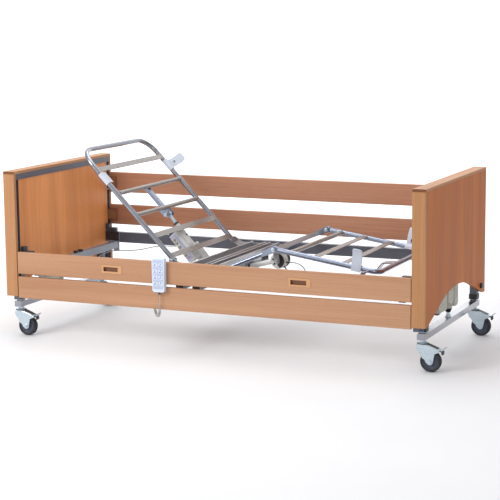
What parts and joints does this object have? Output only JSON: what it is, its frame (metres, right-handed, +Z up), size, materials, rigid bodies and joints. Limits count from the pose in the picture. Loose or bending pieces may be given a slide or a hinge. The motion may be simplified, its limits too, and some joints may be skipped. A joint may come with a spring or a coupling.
{
  "type": "adjustable hospital bed",
  "caption": "Electrically adjustable care bed with wooden bed ends, split sliding side rails, folding steel platform, telescopic lifting columns and braked castors",
  "frame": {"origin": "middle of the outline on the floor", "axes": "+X along the bed towards the foot end, +Y towards the raised side rail, +Z up"},
  "size_m": [2.33, 1.029, 0.9698],
  "materials": {
    "wood_board": "satin beech laminate",
    "wood_rail": "satin beech laminate",
    "grip": "moulded plastic in beech colour",
    "steel_grey": "satin blue-grey powder coat",
    "steel_light": "satin light blue-grey powder coat",
    "galvanised": "galvanised steel",
    "tube_silver": "silver-grey powder coat",
    "zinc": "bright zinc plate",
    "plastic_black": "black moulded plastic",
    "plastic_white": "off-white moulded plastic",
    "plastic_grey": "pale blue-grey moulded plastic",
    "key_grey": "soft-touch keys",
    "wheel_rubber": "dark grey rubber",
    "lead_grey": "grey cable sheath"
  },
  "bodies": {
    "head_base": {"head_base_frame": "tube_silver", "head_lift_spindle": "zinc"},
    "bed": {"head_board_panels": "wood_board", "head_board_edges": "wood_board", "head_end_frame": "steel_grey", "head_lift_motor": "plastic_white", "foot_board_panels": "wood_board", "foot_board_edges": "wood_board", "foot_end_frame": "steel_grey", "foot_lift_motor": "plastic_white", "rail_guides": "steel_grey", "column_collars_and_buffers": "plastic_black", "platform_head_frame": "steel_grey", "platform_foot_frame": "steel_grey", "frame_couplings": "steel_grey", "side_tube_fittings": "plastic_black", "seat_frame": "galvanised", "handset_cord": "lead_grey", "head_lift_lead": "lead_grey"},
    "foot_base": {"foot_base_frame": "tube_silver", "foot_lift_spindle": "zinc"},
    "backrest": {"backrest_frame": "tube_silver", "backrest_slats": "tube_silver", "backrest_spine": "steel_light", "backrest_retainers": "plastic_white"},
    "backrest_motor": {"backrest_motor": "plastic_white", "control_box": "plastic_white"},
    "backrest_rod": {"backrest_push_rod": "zinc"},
    "thigh": {"thigh_tubes": "steel_light", "thigh_channels": "galvanised"},
    "thigh_motor": {"thigh_motor": "plastic_white", "thigh_motor_lead": "lead_grey"},
    "thigh_rod": {"thigh_push_rod": "zinc"},
    "leg": {"leg_frame": "steel_light", "leg_slats": "tube_silver", "leg_retainers": "plastic_white", "leg_prop": "galvanised"},
    "near_top_rail": {"near_top_rail": "wood_rail", "near_rail_grips": "grip", "handset_case": "plastic_grey"},
    "near_low_rail": {"near_low_rail": "wood_rail"},
    "far_top_rail": {"far_top_rail": "wood_rail", "far_rail_grips": "grip"},
    "far_low_rail": {"far_low_rail": "wood_rail"},
    "key_1": {"handset_key_1": "key_grey"},
    "key_2": {"handset_key_2": "key_grey"},
    "key_3": {"handset_key_3": "key_grey"},
    "key_4": {"handset_key_4": "key_grey"},
    "castor_head_near": {"castor_fork_head_near": "zinc"},
    "wheel_head_near": {"castor_wheel_head_near": "wheel_rubber"},
    "pedal_head_near": {"castor_pedal_head_near": "zinc"},
    "castor_head_far": {"castor_fork_head_far": "zinc"},
    "wheel_head_far": {"castor_wheel_head_far": "wheel_rubber"},
    "pedal_head_far": {"castor_pedal_head_far": "zinc"},
    "castor_foot_near": {"castor_fork_foot_near": "zinc"},
    "wheel_foot_near": {"castor_wheel_foot_near": "wheel_rubber"},
    "pedal_foot_near": {"castor_pedal_foot_near": "zinc"},
    "castor_foot_far": {"castor_fork_foot_far": "zinc"},
    "wheel_foot_far": {"castor_wheel_foot_far": "wheel_rubber"},
    "pedal_foot_far": {"castor_pedal_foot_far": "zinc"}
  },
  "joints": [
    {"name": "bed_lift", "type": "slide", "parent": "head_base", "child": "bed", "axis": [0, 0, 1], "range_m": [0, 0.4]},
    {"name": "foot_lift", "type": "slide", "parent": "bed", "child": "foot_base", "axis": [0, 0, -1], "range_m": [0, 0.4]},
    {"name": "backrest_hinge", "type": "hinge", "parent": "bed", "child": "backrest", "pos_m": [-0.265, 0.0145, 0.43], "axis": [0, 1, 0], "range_deg": [-45.6, 24.4]},
    {"name": "backrest_motor_pivot", "type": "hinge", "parent": "bed", "child": "backrest_motor", "pos_m": [-0.238, 0.0145, 0.345], "axis": [0, 1, 0], "range_deg": [-36.2, 19.5]},
    {"name": "backrest_rod_slide", "type": "slide", "parent": "backrest_motor", "child": "backrest_rod", "axis": [-0.6614, 0, 0.75], "range_m": [-0.0405, 0.0219]},
    {"name": "thigh_hinge", "type": "hinge", "parent": "bed", "child": "thigh", "pos_m": [0.042, 0.0145, 0.413], "axis": [0, -1, 0], "range_deg": [-23.2, 12]},
    {"name": "knee_hinge", "type": "hinge", "parent": "thigh", "child": "leg", "pos_m": [0.28, 0.0145, 0.515], "axis": [0, -1, 0], "range_deg": [-18, 34.2]},
    {"name": "thigh_motor_pivot", "type": "hinge", "parent": "thigh", "child": "thigh_motor", "pos_m": [0.162, 0.0145, 0.402], "axis": [0, -1, 0], "range_deg": [-7, 13]},
    {"name": "thigh_rod_slide", "type": "slide", "parent": "thigh_motor", "child": "thigh_rod", "axis": [-0.9669, 0, -0.2551], "range_m": [-0.021, 0.012]},
    {"name": "near_top_rail_slide", "type": "slide", "parent": "bed", "child": "near_top_rail", "axis": [0, 0, 1], "range_m": [0, 0.308]},
    {"name": "near_low_rail_slide", "type": "slide", "parent": "bed", "child": "near_low_rail", "axis": [0, 0, 1], "range_m": [0, 0.252]},
    {"name": "far_top_rail_slide", "type": "slide", "parent": "bed", "child": "far_top_rail", "axis": [0, 0, 1], "range_m": [-0.308, 0]},
    {"name": "far_low_rail_slide", "type": "slide", "parent": "bed", "child": "far_low_rail", "axis": [0, 0, 1], "range_m": [-0.252, 0]},
    {"name": "swivel_head_near", "type": "hinge", "parent": "head_base", "child": "castor_head_near", "pos_m": [-1.119, -0.4075, 0.14], "axis": [0, 0, 1], "continuous": true},
    {"name": "wheel_spin_head_near", "type": "hinge", "parent": "castor_head_near", "child": "wheel_head_near", "pos_m": [-1.079, -0.4075, 0.05], "axis": [0, 1, 0], "continuous": true},
    {"name": "brake_pedal_head_near", "type": "hinge", "parent": "castor_head_near", "child": "pedal_head_near", "pos_m": [-1.045, -0.4075, 0.104], "axis": [0, 1, 0], "range_deg": [0, 12]},
    {"name": "swivel_head_far", "type": "hinge", "parent": "head_base", "child": "castor_head_far", "pos_m": [-1.119, 0.4365, 0.14], "axis": [0, 0, 1], "continuous": true},
    {"name": "wheel_spin_head_far", "type": "hinge", "parent": "castor_head_far", "child": "wheel_head_far", "pos_m": [-1.079, 0.4365, 0.05], "axis": [0, 1, 0], "continuous": true},
    {"name": "brake_pedal_head_far", "type": "hinge", "parent": "castor_head_far", "child": "pedal_head_far", "pos_m": [-1.045, 0.4365, 0.104], "axis": [0, 1, 0], "range_deg": [0, 12]},
    {"name": "swivel_foot_near", "type": "hinge", "parent": "foot_base", "child": "castor_foot_near", "pos_m": [1.053, -0.4075, 0.14], "axis": [0, 0, 1], "continuous": true},
    {"name": "wheel_spin_foot_near", "type": "hinge", "parent": "castor_foot_near", "child": "wheel_foot_near", "pos_m": [1.093, -0.4075, 0.05], "axis": [0, 1, 0], "continuous": true},
    {"name": "brake_pedal_foot_near", "type": "hinge", "parent": "castor_foot_near", "child": "pedal_foot_near", "pos_m": [1.127, -0.4075, 0.104], "axis": [0, 1, 0], "range_deg": [0, 12]},
    {"name": "swivel_foot_far", "type": "hinge", "parent": "foot_base", "child": "castor_foot_far", "pos_m": [1.053, 0.4365, 0.14], "axis": [0, 0, 1], "continuous": true},
    {"name": "wheel_spin_foot_far", "type": "hinge", "parent": "castor_foot_far", "child": "wheel_foot_far", "pos_m": [1.093, 0.4365, 0.05], "axis": [0, 1, 0], "continuous": true},
    {"name": "brake_pedal_foot_far", "type": "hinge", "parent": "castor_foot_far", "child": "pedal_foot_far", "pos_m": [1.127, 0.4365, 0.104], "axis": [0, 1, 0], "range_deg": [0, 12]},
    {"name": "key_1_rock", "type": "hinge", "parent": "near_top_rail", "child": "key_1", "pos_m": [-0.264, -0.5083, 0.432], "axis": [0, 0, 1], "range_deg": [-3, 3], "stiffness_Nm_per_rad": 0.02},
    {"name": "key_2_rock", "type": "hinge", "parent": "near_top_rail", "child": "key_2", "pos_m": [-0.264, -0.5083, 0.401], "axis": [0, 0, 1], "range_deg": [-3, 3], "stiffness_Nm_per_rad": 0.02},
    {"name": "key_3_rock", "type": "hinge", "parent": "near_top_rail", "child": "key_3", "pos_m": [-0.264, -0.5083, 0.37], "axis": [0, 0, 1], "range_deg": [-3, 3], "stiffness_Nm_per_rad": 0.02},
    {"name": "key_4_rock", "type": "hinge", "parent": "near_top_rail", "child": "key_4", "pos_m": [-0.264, -0.5083, 0.339], "axis": [0, 0, 1], "range_deg": [-3, 3], "stiffness_Nm_per_rad": 0.02}
  ],
  "couplings": [
    {"joint": "foot_lift", "follows": "bed_lift", "ratio": 1},
    {"joint": "backrest_motor_pivot", "follows": "backrest_hinge", "ratio": 0.7879},
    {"joint": "backrest_rod_slide", "follows": "backrest_hinge", "m_per_rad": 0.050208},
    {"joint": "knee_hinge", "follows": "thigh_hinge", "ratio": -1.46},
    {"joint": "thigh_motor_pivot", "follows": "thigh_hinge", "ratio": -0.5359},
    {"joint": "thigh_rod_slide", "follows": "thigh_hinge", "m_per_rad": 0.048713},
    {"joint": "near_low_rail_slide", "follows": "near_top_rail_slide", "ratio": 0.81818},
    {"joint": "far_low_rail_slide", "follows": "far_top_rail_slide", "ratio": 0.81818}
  ]
}
